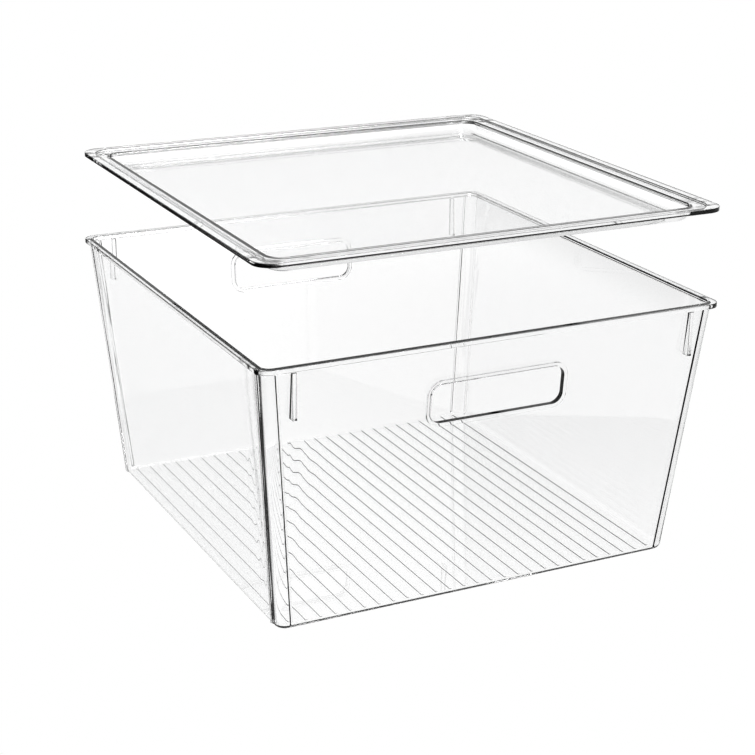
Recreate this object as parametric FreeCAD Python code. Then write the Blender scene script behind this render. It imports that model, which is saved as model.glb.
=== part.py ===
import FreeCAD, Part
import os

# Clear kitchen storage bin with a lift-off lid, in millimetres.
# Z is up, the origin is at the middle of the underside of the base,
# and the two walls with hand slots face -Y and +Y.

# Overall
RIM_HALF = 158.75
RIM_TOP = 174.8
LID_GAP = 0.3
LIFT = 59.0

# Walls of the bin, given by the outer face
BASE_HALF = 140.2
MOUTH_HALF = 155.8
WALL = 2.4
FLOOR = 2.6
CORNER = 7.5
FOOT_ROUND = 5.0
FLOOR_ROUND = 1.2

# Flange round the rim
FLANGE_DEPTH = 3.0
FLANGE_CORNER = 8.5
RIM_ROUND = 0.5
MOUTH_ROUND = 1.2

# Upright bead on the outer face at both ends of every rounded corner
BEAD_WIDTH = 1.8
BEAD_PROUD = 1.3
BEAD_ROUND = 0.7
BEAD_DRAFT = 0.15

# Hand slots through the -Y and +Y walls, each with a collar proud of the outer face
SLOT_LENGTH = 92.0
SLOT_HEIGHT = 25.0
SLOT_CORNER = 7.0
SLOT_MIDDLE = 136.0
SLOT_ROUND = 0.3
COLLAR_WIDTH = 2.7
COLLAR_PROUD = 1.4
COLLAR_ROUND = 0.2

# Stop ribs under the flange, outside the slotted walls
STOP_OFFSET = 136.5
STOP_WIDTH = 2.8
STOP_BOTTOM = 142.4
STOP_TIP = 158.0
STOP_ROUND = 0.4

# Fine ribs on the inside of the base
RIB_COUNT = 27
RIB_PITCH = 10.0
RIB_FOOT = 1.6
RIB_CREST = 0.7
RIB_HEIGHT = 0.25
FIELD_HALF = 135.5
FIELD_CORNER = 12.0

# Lid, measured from the underside of its flange
LID_HALF = 157.75
LID_CORNER = 12.0
LID_FLANGE = 2.7
LID_ROUND = 0.4
BAND_TOP = 1.6
BAND_UNDER = -1.3
BAND_HALF = 150.9
PLUG_HALF = 151.5
BAND_CORNER = 10.0
PLUG_CORNER = 11.0
BAND_ROUND = 1.0
TRAY_HALF = 143.6
TRAY_FLOOR = -6.2
TRAY_UNDER = -8.0
TRAY_WALL = 2.0
TRAY_DRAFT = 2.0
TRAY_CORNER = 9.5
TRAY_ROUND = 5.0
TRAY_UNDER_ROUND = 6.0

# Cutting shapes run this far past the faces they cut, and added ribs start this deep inside
OVERRUN = 5.0
ROOT = 0.5
SLACK = 0.1


def rounded_square(half, radius, z):
    """Closed wire of a square with rounded corners, level at height z."""
    inner = half - radius
    middle = radius * 2 ** -0.5
    edges = []
    turn = FreeCAD.Rotation(FreeCAD.Vector(0, 0, 1), 90)
    start = FreeCAD.Vector(half, -inner, z)
    end = FreeCAD.Vector(half, inner, z)
    bulge = FreeCAD.Vector(inner + middle, inner + middle, z)
    finish = FreeCAD.Vector(inner, half, z)
    for side in range(4):
        edges.append(Part.makeLine(start, end))
        edges.append(Part.Arc(end, bulge, finish).toShape())
        start = turn.multVec(start)
        end = turn.multVec(end)
        bulge = turn.multVec(bulge)
        finish = turn.multVec(finish)
    return Part.Wire(edges)


def block(low_half, low_z, high_half, high_z, radius):
    """Solid between two rounded squares, with straight drafted sides."""
    low = rounded_square(low_half, radius, low_z)
    high = rounded_square(high_half, radius, high_z)
    return Part.makeLoft([low, high], True, True)


def edges_at_height(shape, z, within=2 * RIM_HALF):
    """Edges that lie level at height z and reach no further out than within."""
    found = []
    for edge in shape.Edges:
        box = edge.BoundBox
        level = abs(box.ZMin - z) < SLACK and abs(box.ZMax - z) < SLACK
        if level and max(box.XMax, -box.XMin, box.YMax, -box.YMin) < within:
            found.append(edge)
    return found


def outer_half(z):
    """Half width of the bin's outer face at height z."""
    return BASE_HALF + (MOUTH_HALF - BASE_HALF) * z / RIM_TOP


def inner_half(z):
    """Half width of the bin's inner face at height z."""
    return outer_half(z) - WALL


def make_shell():
    """Drafted box with its flange and an open inside."""
    outside = block(BASE_HALF, 0, MOUTH_HALF, RIM_TOP, CORNER)
    outside = outside.makeFillet(FOOT_ROUND, edges_at_height(outside, 0))
    flange_low = RIM_TOP - FLANGE_DEPTH
    flange = block(RIM_HALF, flange_low, RIM_HALF, RIM_TOP, FLANGE_CORNER)
    flange = flange.makeFillet(RIM_ROUND, edges_at_height(flange, RIM_TOP))
    flange = flange.makeFillet(RIM_ROUND, edges_at_height(flange, flange_low))
    high = RIM_TOP + OVERRUN
    cavity = block(inner_half(FLOOR), FLOOR, inner_half(high), high, CORNER - WALL)
    cavity = cavity.makeFillet(FLOOR_ROUND, edges_at_height(cavity, FLOOR))
    shell = outside.fuse(flange).removeSplitter().cut(cavity)
    return shell.makeFillet(MOUTH_ROUND, edges_at_height(shell, RIM_TOP, MOUTH_HALF))


def make_bar(side, offset):
    """Bar through one slotted wall, with the slot's outline moved outwards by offset."""
    length = SLOT_LENGTH + 2 * offset
    height = SLOT_HEIGHT + 2 * offset
    depth = RIM_HALF - BASE_HALF + 4 * OVERRUN
    middle = side * (RIM_HALF + BASE_HALF) / 2
    low = FreeCAD.Vector(-length / 2, middle - depth / 2, SLOT_MIDDLE - height / 2)
    bar = Part.makeBox(length, depth, height, low)
    corners = [edge for edge in bar.Edges if edge.BoundBox.YLength > depth - SLACK]
    return bar.makeFillet(SLOT_CORNER + offset, corners)


def make_collar(side):
    """Thicker border round one hand slot, not yet cut through."""
    low = SLOT_MIDDLE - SLOT_HEIGHT
    high = SLOT_MIDDLE + SLOT_HEIGHT
    outside = block(
        outer_half(low) + COLLAR_PROUD, low, outer_half(high) + COLLAR_PROUD, high, CORNER
    )
    inside = block(inner_half(low) + ROOT, low, inner_half(high) + ROOT, high, CORNER)
    collar = make_bar(side, COLLAR_WIDTH).common(outside.cut(inside))
    border = []
    for edge in collar.Edges:
        if edge.BoundBox.YLength < WALL - ROOT + COLLAR_PROUD - SLACK:
            border.append(edge)
    return collar.makeFillet(COLLAR_ROUND, border)


def cut_slots(shell):
    """Adds both collars, cuts the hand slots through them and rounds the slots' edges."""
    for side in (-1, 1):
        shell = shell.fuse(make_collar(side)).cut(make_bar(side, 0))
    lips = []
    for edge in shell.Edges:
        box = edge.BoundBox
        inside_x = max(box.XMax, -box.XMin) < SLOT_LENGTH / 2 + SLACK
        above = box.ZMin > SLOT_MIDDLE - SLOT_HEIGHT / 2 - SLACK
        below = box.ZMax < SLOT_MIDDLE + SLOT_HEIGHT / 2 + SLACK
        if inside_x and above and below and box.YLength < WALL:
            lips.append(edge)
    return shell.makeFillet(SLOT_ROUND, lips)


def make_stop_rib(x, side):
    """Upright rib outside a slotted wall, with an upright outer edge under the flange."""
    left = x - STOP_WIDTH / 2
    top = RIM_TOP - FLANGE_DEPTH + ROOT
    outline = [
        (outer_half(STOP_BOTTOM) - ROOT, STOP_BOTTOM),
        (STOP_TIP, STOP_BOTTOM),
        (STOP_TIP, top),
        (outer_half(top) - ROOT, top),
    ]
    corners = [FreeCAD.Vector(left, side * y, z) for y, z in outline]
    profile = Part.Face(Part.makePolygon(corners + corners[:1]))
    rib = profile.extrude(FreeCAD.Vector(STOP_WIDTH, 0, 0))
    crests = []
    for edge in rib.Edges:
        box = edge.BoundBox
        at_tip = min(abs(box.YMin), abs(box.YMax)) > STOP_TIP - SLACK
        if at_tip and box.XLength < SLACK:
            crests.append(edge)
    return rib.makeFillet(STOP_ROUND, crests)


def bead_wire(across, z):
    """Section of a corner bead on the -Y face at height z, on the side given by across."""
    face = -outer_half(z)
    middle = across * (outer_half(z) - CORNER - BEAD_WIDTH / 2)
    crest = BEAD_WIDTH / 2 - BEAD_DRAFT
    points = [
        FreeCAD.Vector(middle - BEAD_WIDTH / 2, face + ROOT, z),
        FreeCAD.Vector(middle - crest, face - BEAD_PROUD, z),
        FreeCAD.Vector(middle + crest, face - BEAD_PROUD, z),
        FreeCAD.Vector(middle + BEAD_WIDTH / 2, face + ROOT, z),
    ]
    return Part.makePolygon(points + points[:1])


def make_beads():
    """Upright beads beside all four corners."""
    low = FOOT_ROUND
    high = RIM_TOP - FLANGE_DEPTH + ROOT
    beads = []
    for across in (-1, 1):
        bead = Part.makeLoft([bead_wire(across, low), bead_wire(across, high)], True, True)
        crests = []
        for edge in bead.Edges:
            upright = edge.BoundBox.ZLength > (high - low) / 2
            if upright and edge.BoundBox.YMin < -outer_half(high):
                crests.append(edge)
        bead = bead.makeFillet(BEAD_ROUND, crests)
        for quarter in range(4):
            turned = bead.copy()
            turned.rotate(FreeCAD.Vector(0, 0, 0), FreeCAD.Vector(0, 0, 1), 90 * quarter)
            beads.append(turned)
    return beads


def rib_reach(x):
    """Half length of a base rib at x, inside the rounded field."""
    straight = FIELD_HALF - FIELD_CORNER
    over = abs(x) - straight
    if over <= 0:
        return FIELD_HALF
    return straight + (FIELD_CORNER ** 2 - over ** 2) ** 0.5


def make_base_rib(x):
    """Low rib along Y on the inside of the base."""
    sunk = FLOOR - ROOT
    crest = FLOOR + RIB_HEIGHT
    slope = (RIB_FOOT - RIB_CREST) / 2 / RIB_HEIGHT
    low_half = RIB_CREST / 2 + slope * (crest - sunk)
    reach = rib_reach(x)
    points = [
        FreeCAD.Vector(x - low_half, -reach, sunk),
        FreeCAD.Vector(x + low_half, -reach, sunk),
        FreeCAD.Vector(x + RIB_CREST / 2, -reach, crest),
        FreeCAD.Vector(x - RIB_CREST / 2, -reach, crest),
    ]
    profile = Part.Face(Part.makePolygon(points + points[:1]))
    return profile.extrude(FreeCAD.Vector(0, 2 * reach, 0))


def make_bin():
    """The whole open bin."""
    shell = cut_slots(make_shell())
    ribs = make_beads()
    for side in (-1, 1):
        for x in (-STOP_OFFSET, STOP_OFFSET):
            ribs.append(make_stop_rib(x, side))
    for number in range(RIB_COUNT):
        ribs.append(make_base_rib((number - (RIB_COUNT - 1) / 2) * RIB_PITCH))
    return shell.fuse(ribs).removeSplitter()


def make_lid():
    """Lid with a locating step and a sunken tray, flange underside at z = 0."""
    flange = block(LID_HALF, 0, LID_HALF, LID_FLANGE, LID_CORNER)
    flange = flange.makeFillet(LID_ROUND, edges_at_height(flange, LID_FLANGE))
    flange = flange.makeFillet(LID_ROUND, edges_at_height(flange, 0))
    step = block(PLUG_HALF, BAND_UNDER, PLUG_HALF, LID_FLANGE / 2, PLUG_CORNER)
    under_half = TRAY_HALF - TRAY_DRAFT + TRAY_WALL
    over_half = TRAY_HALF + TRAY_WALL
    tray = block(under_half, TRAY_UNDER, over_half, 0, TRAY_CORNER + TRAY_WALL)
    tray = tray.makeFillet(TRAY_UNDER_ROUND, edges_at_height(tray, TRAY_UNDER))
    lid = flange.fuse([step, tray]).removeSplitter()
    band = block(BAND_HALF, BAND_TOP, BAND_HALF, LID_FLANGE + OVERRUN, BAND_CORNER)
    slope = TRAY_DRAFT / (BAND_TOP - TRAY_FLOOR)
    hollow = block(
        TRAY_HALF - TRAY_DRAFT,
        TRAY_FLOOR,
        TRAY_HALF + slope * OVERRUN,
        BAND_TOP + OVERRUN,
        TRAY_CORNER,
    )
    hollow = hollow.makeFillet(TRAY_ROUND, edges_at_height(hollow, TRAY_FLOOR))
    lid = lid.cut(band.fuse(hollow))
    rims = edges_at_height(lid, BAND_TOP, TRAY_HALF + SLACK)
    rims += edges_at_height(lid, LID_FLANGE, BAND_HALF + SLACK)
    return lid.makeFillet(BAND_ROUND, rims)


os.makedirs("parts", exist_ok=True)
bin_shape = make_bin()
bin_shape.Solids[0].exportStep("parts/bin.step")
lid_shape = make_lid()
lid_shape.translate(FreeCAD.Vector(0, 0, RIM_TOP + LID_GAP + LIFT))
lid_shape.Solids[0].exportStep("parts/lid.step")
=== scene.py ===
import math

import bmesh
import bpy
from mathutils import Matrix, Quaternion, Vector


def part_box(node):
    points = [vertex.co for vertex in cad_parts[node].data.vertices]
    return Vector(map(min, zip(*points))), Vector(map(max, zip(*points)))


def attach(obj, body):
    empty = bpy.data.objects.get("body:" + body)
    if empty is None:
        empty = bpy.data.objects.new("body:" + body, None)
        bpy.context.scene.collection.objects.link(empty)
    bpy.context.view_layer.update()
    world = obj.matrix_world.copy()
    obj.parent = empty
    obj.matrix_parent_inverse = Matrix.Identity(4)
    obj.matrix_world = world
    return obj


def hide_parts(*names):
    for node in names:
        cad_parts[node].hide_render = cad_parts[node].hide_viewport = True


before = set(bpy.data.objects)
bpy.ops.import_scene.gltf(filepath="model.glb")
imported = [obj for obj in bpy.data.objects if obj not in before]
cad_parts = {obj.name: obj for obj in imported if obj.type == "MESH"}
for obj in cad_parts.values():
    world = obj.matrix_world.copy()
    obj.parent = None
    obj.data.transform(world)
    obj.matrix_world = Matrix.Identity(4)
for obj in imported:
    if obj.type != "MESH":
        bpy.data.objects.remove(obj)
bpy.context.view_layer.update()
bin_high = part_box("bin")[1]
lid_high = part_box("lid")[1]

# Lengths are in metres. Heights on the lid are measured from the underside of its flange.
MM = 0.001

# Bin
RIM_HALF = bin_high.x
RIM_TOP = bin_high.z
BASE_HALF = 140.2 * MM
MOUTH_HALF = 155.8 * MM
WALL = 2.4 * MM
FLOOR = 2.6 * MM
CORNER = 7.5 * MM
INNER_CORNER = CORNER - WALL
BEAD_WIDTH = 1.8 * MM
BEAD_PROUD = 1.3 * MM
BEAD_ROUND = 0.7 * MM
BEAD_DRAFT = 0.15 * MM
FOOT_ROUND = 5.0 * MM
FLOOR_ROUND = 1.2 * MM
FLANGE_DEPTH = 3.0 * MM
FLANGE_CORNER = 8.5 * MM
RIM_ROUND = 0.5 * MM
MOUTH_ROUND = 1.2 * MM
NECK_ROUND = 0.4 * MM

# Hand slots
SLOT_LENGTH = 92.0 * MM
SLOT_HEIGHT = 25.0 * MM
SLOT_CORNER = 7.0 * MM
SLOT_MIDDLE = 136.0 * MM
SLOT_ROUND = 0.3 * MM
COLLAR_WIDTH = 2.7 * MM
COLLAR_PROUD = 1.4 * MM
COLLAR_ROUND = 0.2 * MM

# Stop ribs
STOP_OFFSET = 136.5 * MM
STOP_WIDTH = 2.8 * MM
STOP_TOP = 171.2 * MM
STOP_BOTTOM = 142.4 * MM
STOP_TIP = 158.0 * MM
STOP_ROUND = 0.4 * MM

# Base ribs
RIB_COUNT = 27
RIB_PITCH = 10.0 * MM
RIB_FOOT = 1.6 * MM
RIB_HEIGHT = 0.25 * MM
FIELD_HALF = 135.5 * MM
FIELD_CORNER = 12.0 * MM

# Lid
LID_HALF = lid_high.x
LID_THICK = 2.7 * MM
LID_CORNER = 12.0 * MM
LID_ROUND = 0.4 * MM
LID_DEEPEST = 8.0 * MM
LID_UNDERSIDE = lid_high.z - LID_THICK
BAND_TOP = 1.6 * MM
BAND_UNDER = -1.3 * MM
BAND_HALF = 150.9 * MM
PLUG_HALF = 151.5 * MM
BAND_CORNER = 10.0 * MM
PLUG_CORNER = 11.0 * MM
BAND_ROUND = 1.0 * MM
TRAY_HALF = 143.6 * MM
TRAY_FLOOR = -6.2 * MM
TRAY_WALL = 2.0 * MM
TRAY_DRAFT = 2.0 * MM
TRAY_CORNER = 9.5 * MM
TRAY_ROUND = 5.0 * MM
TRAY_UNDER_ROUND = 6.0 * MM

# Fineness of the meshes
CORNER_STEPS = 16
ROUND_STEPS = 6
SLOT_STEPS = 12
RIB_STEPS = 8
SHARP_ANGLE = math.radians(35)

# Plastic: refractive index, moulded waves near the corners, fine haze, painted shade seen at a
# slant
INDEX = 1.49
WAVE_START = 115.0 * MM
WAVE_END = 145.0 * MM
WAVE_STRETCH = 0.15
WAVE_SCALE = 110.0
WAVE_HEIGHT = 0.5 * MM
HAZE_SCALE = 9.0
HAZE_DETAIL = 6.0
HAZE_START = 0.45
HAZE_END = 0.75
HAZE = 0.03
SLANT_BLEND = 0.25
SLANT_PAINTED_SHADE = (0.94, 0.945, 0.95, 1)
WHITE = (1, 1, 1, 1)

# Studio: how light fades with reflections and gains behind plastic
FADE = 0.04
FADE_POWER = 6
GAIN = 0.024
GAIN_LAYERS = 2

# Painted dark patch in the floor's light on the left, by distance from the middle: only
# reflections see it, so it paints dark reflections on the plastic
PAINTED_DARKNESS = 0.9
PAINTED_DARK_START = 0.28
PAINTED_DARK_FULL = 0.48
PAINTED_DARK_FADES = 0.9
PAINTED_DARK_END = 1.4

# Soft shade on the floor on the right, seen through plastic only
SHADE = 0.07
SHADE_MIDDLE = (0.37, 0.22, 0)
SHADE_INNER = 0.1
SHADE_OUTER = 0.58

# Floor, world and soft box
FLOOR_RADIUS = 9.0
FLOOR_SIDES = 64
FLOOR_DROP = 0.5 * MM
WORLD_WHITE = 1.02
WORLD_DARK = 0.05
WORLD_START = math.radians(36)
WORLD_END = math.radians(50)
BOX_PLACE = (0.4, -0.5, 1.8)
BOX_LENGTH = 0.9
BOX_WIDTH = 0.5
BOX_POWER = 12

# Camera
CAMERA_AZIMUTH = math.radians(-26.77)
CAMERA_ELEVATION = math.radians(19.67)
CAMERA_ROLL = math.radians(0.68)
CAMERA_DISTANCE = 1.271
CAMERA_TARGET = (0.0051, 0.0192, 0.09)
CAMERA_LENS = 87.42
CAMERA_NEAR = 0.05
CAMERA_FAR = 50.0
PICTURE_GAMMA = 0.75
BOUNCES = 40
REFLECTIONS = 20


def outer_half(z):
    """Half width of the bin's outer face at height z."""
    return BASE_HALF + (MOUTH_HALF - BASE_HALF) * z / RIM_TOP


def inner_half(z):
    """Half width of the bin's inner face at height z."""
    return outer_half(z) - WALL


def rounded_profile(corners):
    """Rings (half, radius, z) of an outline given as corners (half, radius, z, round)."""
    rings = []
    for index, (half, radius, z, fillet) in enumerate(corners):
        if fillet == 0:
            rings.append((half, radius, z))
            continue
        here = Vector((half, z))
        before = Vector((corners[index - 1][0], corners[index - 1][2]))
        after_corner = corners[(index + 1) % len(corners)]
        after = Vector((after_corner[0], after_corner[2]))
        if index == 0:
            before = Vector((0, z))
        if index == len(corners) - 1:
            after = Vector((0, z))
        arriving = (before - here).normalized()
        leaving = (after - here).normalized()
        turn = arriving.angle(leaving)
        bisector = (arriving + leaving).normalized()
        centre = here + bisector * (fillet / math.sin(turn / 2))
        start = here + arriving * (fillet / math.tan(turn / 2)) - centre
        sweep = start.angle_signed(here + leaving * (fillet / math.tan(turn / 2)) - centre)
        for step in range(ROUND_STEPS + 1):
            angle = -sweep * step / ROUND_STEPS
            spoke = Vector((
                start.x * math.cos(angle) - start.y * math.sin(angle),
                start.x * math.sin(angle) + start.y * math.cos(angle),
            ))
            point = centre + spoke
            rings.append((point.x, point.x - half + radius, point.y))
    return rings


def bead_section():
    """Points (distance from the corner, rise) of a bead, from the corner outwards."""
    points = [(0, 0)]
    inset = BEAD_DRAFT + BEAD_ROUND
    for centre, first in ((inset, 0), (BEAD_WIDTH - inset, 1)):
        for step in range(ROUND_STEPS + 1):
            angle = math.pi / 2 * (first + step / ROUND_STEPS)
            rise = BEAD_PROUD - BEAD_ROUND * (1 - math.sin(angle))
            points.append((centre - BEAD_ROUND * math.cos(angle), rise))
    return points + [(BEAD_WIDTH, 0)]


def add_ring(mesh, half, radius, z, bead=()):
    """Vertices of a level square with rounded corners, counter-clockwise from above.

    A bead with the given section lies at both ends of every corner.
    """
    inner = half - radius
    turned = (Vector((1, 0)), Vector((0, 1)), Vector((-1, 0)), Vector((0, -1)))
    ring = []
    for quarter in range(4):
        across = turned[quarter]
        along = turned[(quarter + 1) % 4]
        centre = (across + along) * inner
        points = []
        for back, rise in reversed(bead[1:]):
            points.append(centre - along * back + across * (radius + rise))
        for step in range(CORNER_STEPS + 1):
            angle = math.pi / 2 * step / CORNER_STEPS
            spoke = across * math.cos(angle) + along * math.sin(angle)
            points.append(centre + spoke * radius)
        for back, rise in bead[1:]:
            points.append(centre - across * back + along * (radius + rise))
        ring += [mesh.verts.new((point.x, point.y, z)) for point in points]
    return ring


RING_QUARTER = CORNER_STEPS + 1 + 2 * (2 * ROUND_STEPS + 3)
BACK_SIDE = RING_QUARTER - 1
FRONT_SIDE = 3 * RING_QUARTER - 1


def bridge(mesh, low, high, skipped=()):
    """Quads between two loops of vertices, without the sides in skipped."""
    count = len(low)
    for index in range(count):
        if index not in skipped:
            after = (index + 1) % count
            mesh.faces.new((low[index], low[after], high[after], high[index]))


def fill_plane(mesh, edges, normal):
    """Fills a flat region with triangles, leaving out the loops inside it."""
    bmesh.ops.triangle_fill(mesh, use_beauty=True, use_dissolve=False, edges=edges, normal=normal)


def loop_edges(mesh, loop):
    """Edges of a closed loop of vertices, made where they are missing."""
    edges = []
    for index, vertex in enumerate(loop):
        after = loop[(index + 1) % len(loop)]
        edges.append(mesh.edges.get((vertex, after)) or mesh.edges.new((vertex, after)))
    return edges


def slot_outline(offset):
    """Points (x, z) of the hand slot's outline, moved outwards by offset."""
    points = []
    radius = SLOT_CORNER + offset
    for quarter, (across, up) in enumerate(((1, 1), (-1, 1), (-1, -1), (1, -1))):
        centre_x = across * (SLOT_LENGTH / 2 - SLOT_CORNER)
        centre_z = SLOT_MIDDLE + up * (SLOT_HEIGHT / 2 - SLOT_CORNER)
        for step in range(SLOT_STEPS + 1):
            angle = math.pi / 2 * (quarter + step / SLOT_STEPS)
            x = centre_x + radius * math.cos(angle)
            z = centre_z + radius * math.sin(angle)
            points.append((x, z))
    return points


def collar_section():
    """Points (offset, proud) from the outer face over the collar and through the slot."""
    points = [(COLLAR_WIDTH, 0)]
    for step in range(ROUND_STEPS + 1):
        angle = math.pi / 2 * step / ROUND_STEPS
        offset = COLLAR_WIDTH - COLLAR_ROUND * (1 - math.cos(angle))
        points.append((offset, COLLAR_PROUD - COLLAR_ROUND * (1 - math.sin(angle))))
    for step in range(ROUND_STEPS + 1):
        angle = math.pi / 2 * step / ROUND_STEPS
        offset = SLOT_ROUND * (1 - math.sin(angle))
        points.append((offset, COLLAR_PROUD - SLOT_ROUND * (1 - math.cos(angle))))
    for step in range(ROUND_STEPS + 1):
        angle = math.pi / 2 * step / ROUND_STEPS
        offset = SLOT_ROUND * (1 - math.cos(angle))
        points.append((offset, SLOT_ROUND * (1 - math.sin(angle)) - WALL))
    return points


def add_slot(mesh, side):
    """Collar and walls of one hand slot; returns its loop on the outer and inner face."""
    loops = []
    for offset, proud in collar_section():
        loop = []
        for x, z in slot_outline(offset):
            loop.append(mesh.verts.new((x, side * (outer_half(z) + proud), z)))
        loops.append(loop)
    for low, high in zip(loops, loops[1:]):
        bridge(mesh, low, high)
    return loops[0], loops[-1]


def add_stop_rib(mesh, x, side):
    """Upright rib on the outer face of a slotted wall; returns its loop on that face."""
    sections = []
    for z in (STOP_BOTTOM, STOP_TOP):
        wall = outer_half(z)
        tip = STOP_TIP - STOP_ROUND
        edge = STOP_WIDTH / 2 - STOP_ROUND
        outline = [(STOP_WIDTH / 2, wall)]
        for centre, first in ((edge, 0), (-edge, 1)):
            for step in range(ROUND_STEPS + 1):
                angle = math.pi / 2 * (first + step / ROUND_STEPS)
                across = centre + STOP_ROUND * math.cos(angle)
                outline.append((across, tip + STOP_ROUND * math.sin(angle)))
        outline.append((-STOP_WIDTH / 2, wall))
        section = []
        for across, y in outline:
            section.append(mesh.verts.new((x + across, side * y, z)))
        sections.append(section)
    low, high = sections
    bridge(mesh, low, high, skipped=(len(low) - 1,))
    mesh.faces.new(low)
    mesh.faces.new(high)
    return [low[0], low[-1], high[-1], high[0]]


def rib_reach(x):
    """Half length of a base rib at x, inside the rounded field."""
    straight = FIELD_HALF - FIELD_CORNER
    over = abs(x) - straight
    if over <= 0:
        return FIELD_HALF
    return straight + math.sqrt(FIELD_CORNER ** 2 - over ** 2)


def add_base_rib(mesh, x):
    """Low round-backed rib on the inside of the base; returns its loop on the floor."""
    ends = []
    for along in (-rib_reach(x), rib_reach(x)):
        section = []
        for step in range(RIB_STEPS + 1):
            angle = math.pi * step / RIB_STEPS
            across = RIB_FOOT / 2 * math.cos(angle)
            rise = RIB_HEIGHT * math.sin(angle)
            section.append(mesh.verts.new((x + across, along, FLOOR + rise)))
        ends.append(section)
    near, far = ends
    bridge(mesh, near, far, skipped=(len(near) - 1,))
    mesh.faces.new(near)
    mesh.faces.new(far)
    return [near[0], near[-1], far[-1], far[0]]


def finish_mesh(mesh, name, body, node):
    """Turns the mesh into a piece that rides on its body and stands for its node."""
    bmesh.ops.recalc_face_normals(mesh, faces=mesh.faces)
    for edge in mesh.edges:
        if len(edge.link_faces) == 2 and edge.calc_face_angle() > SHARP_ANGLE:
            edge.smooth = False
    for face in mesh.faces:
        face.smooth = True
    data = bpy.data.meshes.new(name)
    mesh.to_mesh(data)
    mesh.free()
    piece = bpy.data.objects.new(name, data)
    bpy.context.scene.collection.objects.link(piece)
    normals = piece.modifiers.new("flat faces stay flat", "WEIGHTED_NORMAL")
    normals.mode = "FACE_AREA"
    normals.weight = 100
    normals.keep_sharp = True
    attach(piece, body)
    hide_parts(node)
    return piece


def make_bin():
    """Drafted bin with its flange, hand slots, stop ribs and ribbed base."""
    mesh = bmesh.new()
    neck = RIM_TOP - FLANGE_DEPTH
    outside = rounded_profile([
        (BASE_HALF, CORNER, 0, FOOT_ROUND),
        (outer_half(neck), CORNER, neck, NECK_ROUND),
        (RIM_HALF, FLANGE_CORNER, neck, RIM_ROUND),
        (RIM_HALF, FLANGE_CORNER, RIM_TOP, RIM_ROUND),
        (inner_half(RIM_TOP), INNER_CORNER, RIM_TOP, MOUTH_ROUND),
        (inner_half(FLOOR), INNER_CORNER, FLOOR, FLOOR_ROUND),
    ])
    bead = bead_section()
    no_bead = [(back, 0) for back, rise in bead]
    rings = []
    for half, radius, z in outside:
        upright = FOOT_ROUND / 2 < z < neck - NECK_ROUND / 2
        beaded = upright and half > inner_half(z) + WALL / 2
        rings.append(add_ring(mesh, half, radius, z, bead if beaded else no_bead))
    wall_bands = []
    for low, high in zip(rings, rings[1:]):
        tall = abs(high[0].co.z - low[0].co.z) > RIM_TOP / 2
        bridge(mesh, low, high, skipped=(BACK_SIDE, FRONT_SIDE) if tall else ())
        if tall:
            wall_bands.append((low, high))
    mesh.faces.new(rings[0])
    for side, first in ((1, BACK_SIDE), (-1, FRONT_SIDE)):
        outer_loop, inner_loop = add_slot(mesh, side)
        stops = [add_stop_rib(mesh, x, side) for x in (-STOP_OFFSET, STOP_OFFSET)]
        for (low, high), holes in zip(wall_bands, ([outer_loop] + stops, [inner_loop])):
            border = [low[first], low[first + 1], high[first + 1], high[first]]
            edges = loop_edges(mesh, border)
            for hole in holes:
                edges += loop_edges(mesh, hole)
            fill_plane(mesh, edges, (0, side, 0))
    edges = loop_edges(mesh, rings[-1])
    for number in range(RIB_COUNT):
        edges += loop_edges(mesh, add_base_rib(mesh, (number - (RIB_COUNT - 1) / 2) * RIB_PITCH))
    fill_plane(mesh, edges, (0, 0, 1))
    return finish_mesh(mesh, "bin_body", "bin", "bin")


def make_lid():
    """Lid with a locating step underneath and a sunken tray on top."""
    mesh = bmesh.new()
    over_half = TRAY_HALF + TRAY_WALL
    outline = rounded_profile([
        (over_half - TRAY_DRAFT, TRAY_CORNER + TRAY_WALL, -LID_DEEPEST, TRAY_UNDER_ROUND),
        (over_half, TRAY_CORNER + TRAY_WALL, BAND_UNDER, NECK_ROUND),
        (PLUG_HALF, PLUG_CORNER, BAND_UNDER, NECK_ROUND),
        (PLUG_HALF, PLUG_CORNER, 0, NECK_ROUND),
        (LID_HALF, LID_CORNER, 0, LID_ROUND),
        (LID_HALF, LID_CORNER, LID_THICK, LID_ROUND),
        (BAND_HALF, BAND_CORNER, LID_THICK, BAND_ROUND),
        (BAND_HALF, BAND_CORNER, BAND_TOP, NECK_ROUND),
        (TRAY_HALF, TRAY_CORNER, BAND_TOP, BAND_ROUND),
        (TRAY_HALF - TRAY_DRAFT, TRAY_CORNER, TRAY_FLOOR, TRAY_ROUND),
    ])
    rings = []
    for half, radius, z in outline:
        rings.append(add_ring(mesh, half, radius, LID_UNDERSIDE + z))
    for low, high in zip(rings, rings[1:]):
        bridge(mesh, low, high)
    mesh.faces.new(rings[0])
    mesh.faces.new(rings[-1])
    return finish_mesh(mesh, "lid_body", "lid", "lid")


def calculate(nodes, links, operation, *values):
    """Output of a math node fed with sockets and numbers."""
    node = nodes.new("ShaderNodeMath")
    node.operation = operation
    for slot, value in zip(node.inputs, values):
        if isinstance(value, bpy.types.NodeSocket):
            links.new(value, slot)
        else:
            slot.default_value = value
    return node.outputs["Value"]


def ramp(nodes, links, value, start, end, low, high):
    """Smooth change from low to high while a value goes from start to end."""
    node = nodes.new("ShaderNodeMapRange")
    node.interpolation_type = "SMOOTHSTEP"
    links.new(value, node.inputs["Value"])
    node.inputs["From Min"].default_value = start
    node.inputs["From Max"].default_value = end
    node.inputs["To Min"].default_value = low
    node.inputs["To Max"].default_value = high
    return node.outputs["Result"]


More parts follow.
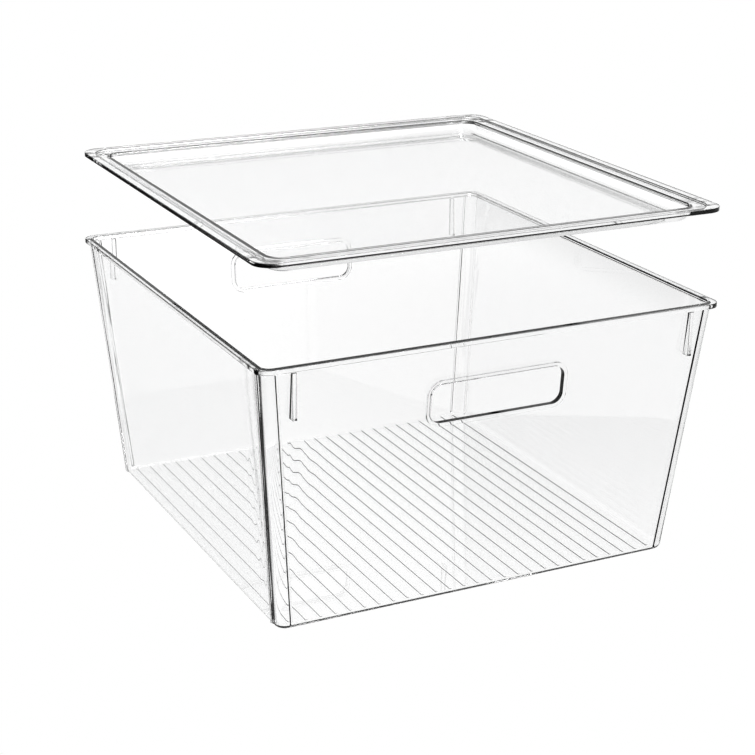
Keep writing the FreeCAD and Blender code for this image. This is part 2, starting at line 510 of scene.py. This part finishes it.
def corner_share(nodes, links, place):
    """Nought in the middle of every wall, rising to one at the corners."""
    parts = nodes.new("ShaderNodeSeparateXYZ")
    links.new(place, parts.inputs["Vector"])
    x = calculate(nodes, links, "ABSOLUTE", parts.outputs["X"])
    y = calculate(nodes, links, "ABSOLUTE", parts.outputs["Y"])
    nearer = calculate(nodes, links, "MINIMUM", x, y)
    return ramp(nodes, links, nearer, WAVE_START, WAVE_END, 0, 1)


def add_waves(nodes, links, shader, place):
    """Upright waves of a moulded wall, near the corners only."""
    stretch = nodes.new("ShaderNodeMapping")
    stretch.inputs["Scale"].default_value = (1, 1, WAVE_STRETCH)
    links.new(place, stretch.inputs["Vector"])
    waves = nodes.new("ShaderNodeTexNoise")
    links.new(stretch.outputs["Vector"], waves.inputs["Vector"])
    waves.inputs["Scale"].default_value = WAVE_SCALE
    waves.inputs["Detail"].default_value = 0
    corner = corner_share(nodes, links, place)
    height = calculate(nodes, links, "MULTIPLY", waves.outputs["Fac"], corner)
    bump = nodes.new("ShaderNodeBump")
    bump.inputs["Strength"].default_value = 1
    bump.inputs["Distance"].default_value = WAVE_HEIGHT
    links.new(height, bump.inputs["Height"])
    links.new(bump.outputs["Normal"], shader.inputs["Normal"])


def add_haze(nodes, links, shader, place):
    """Cloudy patches that are a little less polished."""
    haze = nodes.new("ShaderNodeTexNoise")
    links.new(place, haze.inputs["Vector"])
    haze.inputs["Scale"].default_value = HAZE_SCALE
    haze.inputs["Detail"].default_value = HAZE_DETAIL
    rough = ramp(nodes, links, haze.outputs["Fac"], HAZE_START, HAZE_END, 0, HAZE)
    links.new(rough, shader.inputs["Roughness"])


def add_painted_slant_shade(nodes, links, shader):
    """Painted shade: slightly grey where the surface is seen at a slant, which darkens the edges.
    """
    slant = nodes.new("ShaderNodeLayerWeight")
    slant.inputs["Blend"].default_value = SLANT_BLEND
    # Painted shade: grey mixed into the colour at a slant
    slant_shade = nodes.new("ShaderNodeMix")
    slant_shade.data_type = "RGBA"
    slant_shade.inputs["A"].default_value = WHITE
    slant_shade.inputs["B"].default_value = SLANT_PAINTED_SHADE
    links.new(slant.outputs["Facing"], slant_shade.inputs["Factor"])
    links.new(slant_shade.outputs["Result"], shader.inputs["Base Color"])


def clear_plastic(name):
    """Clear, glossy moulded plastic."""
    material = bpy.data.materials.new(name)
    material.use_nodes = True
    nodes = material.node_tree.nodes
    links = material.node_tree.links
    shader = nodes["Principled BSDF"]
    shader.inputs["IOR"].default_value = INDEX
    shader.inputs["Transmission Weight"].default_value = 1
    place = nodes.new("ShaderNodeTexCoord").outputs["Object"]
    add_waves(nodes, links, shader, place)
    add_haze(nodes, links, shader, place)
    # Painted shade at a slant, greying the edges
    add_painted_slant_shade(nodes, links, shader)
    return material


def light_left(nodes, links):
    """Share of the light left after many reflections, with a little gain behind plastic."""
    light = nodes.new("ShaderNodeLightPath")
    steep = calculate(nodes, links, "POWER", light.outputs["Glossy Depth"], FADE_POWER)
    kept = calculate(nodes, links, "EXPONENT", calculate(nodes, links, "MULTIPLY", steep, -FADE))
    layers = light.outputs["Transmission Depth"]
    through = calculate(nodes, links, "MINIMUM", layers, GAIN_LAYERS)
    gain = calculate(nodes, links, "MULTIPLY_ADD", through, GAIN, 1)
    return calculate(nodes, links, "MULTIPLY", kept, gain)


def painted_dark_reflection(nodes, links, place):
    """Share of the light left by the painted dark patch on the floor, which only reflections see:
    a painted dark reflection.
    """
    parts = nodes.new("ShaderNodeSeparateXYZ")
    links.new(place, parts.inputs["Vector"])
    left = calculate(nodes, links, "MULTIPLY", parts.outputs["X"], -1)
    near = ramp(nodes, links, left, PAINTED_DARK_START, PAINTED_DARK_FULL, 0, PAINTED_DARKNESS)
    far = ramp(nodes, links, left, PAINTED_DARK_FADES, PAINTED_DARK_END, 1, 0)
    depth = nodes.new("ShaderNodeLightPath").outputs["Glossy Depth"]
    reflected = calculate(nodes, links, "MINIMUM", depth, 1)
    # Painted dark reflection: the floor's light is darkened here for reflected rays only
    dark_patch = calculate(nodes, links, "MULTIPLY", near, far)
    hidden = calculate(nodes, links, "MULTIPLY", dark_patch, reflected)
    return calculate(nodes, links, "SUBTRACT", 1, hidden)


def soft_shade(nodes, links, place):
    """Share of the light left by the soft shade, which is only seen through plastic."""
    away = nodes.new("ShaderNodeVectorMath")
    away.operation = "DISTANCE"
    away.inputs[1].default_value = SHADE_MIDDLE
    links.new(place, away.inputs[0])
    shade = ramp(nodes, links, away.outputs["Value"], SHADE_INNER, SHADE_OUTER, SHADE, 0)
    depth = nodes.new("ShaderNodeLightPath").outputs["Transmission Depth"]
    through = calculate(nodes, links, "MINIMUM", depth, 1)
    hidden = calculate(nodes, links, "MULTIPLY", shade, through)
    return calculate(nodes, links, "SUBTRACT", 1, hidden)


def make_floor():
    """Wide white floor that gives its own light, less the painted dark patch and the shade."""
    mesh = bmesh.new()
    bmesh.ops.create_circle(mesh, cap_ends=True, radius=FLOOR_RADIUS, segments=FLOOR_SIDES)
    data = bpy.data.meshes.new("floor")
    mesh.to_mesh(data)
    mesh.free()
    floor = bpy.data.objects.new("floor", data)
    floor.location.z = -FLOOR_DROP
    bpy.context.scene.collection.objects.link(floor)
    material = bpy.data.materials.new("pale_floor")
    material.use_nodes = True
    nodes = material.node_tree.nodes
    links = material.node_tree.links
    nodes.clear()
    output = nodes.new("ShaderNodeOutputMaterial")
    glow = nodes.new("ShaderNodeEmission")
    place = nodes.new("ShaderNodeNewGeometry").outputs["Position"]
    strength = light_left(nodes, links)
    # Painted dark reflections and the soft shade seen through plastic darken the floor's light
    for share in (painted_dark_reflection(nodes, links, place), soft_shade(nodes, links, place)):
        strength = calculate(nodes, links, "MULTIPLY", strength, share)
    links.new(strength, glow.inputs["Strength"])
    links.new(glow.outputs["Emission"], output.inputs["Surface"])
    data.materials.append(material)


def make_world():
    """White from the horizon to a good third of the way up, dark studio above."""
    world = bpy.data.worlds.new("studio")
    bpy.context.scene.world = world
    world.use_nodes = True
    nodes = world.node_tree.nodes
    links = world.node_tree.links
    split = nodes.new("ShaderNodeSeparateXYZ")
    links.new(nodes.new("ShaderNodeTexCoord").outputs["Generated"], split.inputs["Vector"])
    start = math.sin(WORLD_START)
    end = math.sin(WORLD_END)
    height = ramp(nodes, links, split.outputs["Z"], start, end, WORLD_WHITE, WORLD_DARK)
    strength = calculate(nodes, links, "MULTIPLY", height, light_left(nodes, links))
    nodes["Background"].inputs["Color"].default_value = WHITE
    links.new(strength, nodes["Background"].inputs["Strength"])


def make_lights():
    """Soft box overhead."""
    data = bpy.data.lights.new("soft_box", "AREA")
    data.shape = "RECTANGLE"
    data.size = BOX_LENGTH
    data.size_y = BOX_WIDTH
    data.energy = BOX_POWER
    light = bpy.data.objects.new("soft_box", data)
    light.location = BOX_PLACE
    light.rotation_mode = "QUATERNION"
    light.rotation_quaternion = (-light.location).to_track_quat("-Z", "Y")
    bpy.context.scene.collection.objects.link(light)


def make_camera():
    """Camera in front on the left, looking a little down at the bin."""
    back = Vector((
        math.sin(CAMERA_AZIMUTH) * math.cos(CAMERA_ELEVATION),
        -math.cos(CAMERA_AZIMUTH) * math.cos(CAMERA_ELEVATION),
        math.sin(CAMERA_ELEVATION),
    ))
    data = bpy.data.cameras.new("camera")
    data.lens = CAMERA_LENS
    data.clip_start = CAMERA_NEAR
    data.clip_end = CAMERA_FAR
    camera = bpy.data.objects.new("camera", data)
    camera.location = Vector(CAMERA_TARGET) + back * CAMERA_DISTANCE
    camera.rotation_mode = "QUATERNION"
    level = (-back).to_track_quat("-Z", "Y")
    camera.rotation_quaternion = level @ Quaternion((0, 0, 1), CAMERA_ROLL)
    bpy.context.scene.collection.objects.link(camera)
    bpy.context.scene.camera = camera


def set_light_paths():
    """Plain colours, and enough bounces to see through every wall."""
    scene = bpy.context.scene
    scene.view_settings.view_transform = "Standard"
    scene.view_settings.gamma = PICTURE_GAMMA
    scene.cycles.max_bounces = BOUNCES
    scene.cycles.transmission_bounces = BOUNCES
    scene.cycles.glossy_bounces = REFLECTIONS
    scene.cycles.caustics_reflective = True
    scene.cycles.caustics_refractive = True


make_camera()
make_world()
make_floor()
make_lights()
set_light_paths()
bin_body = make_bin()
bin_body.data.materials.append(clear_plastic("bin_clear_plastic"))
lid_body = make_lid()
lid_body.data.materials.append(clear_plastic("lid_clear_plastic"))
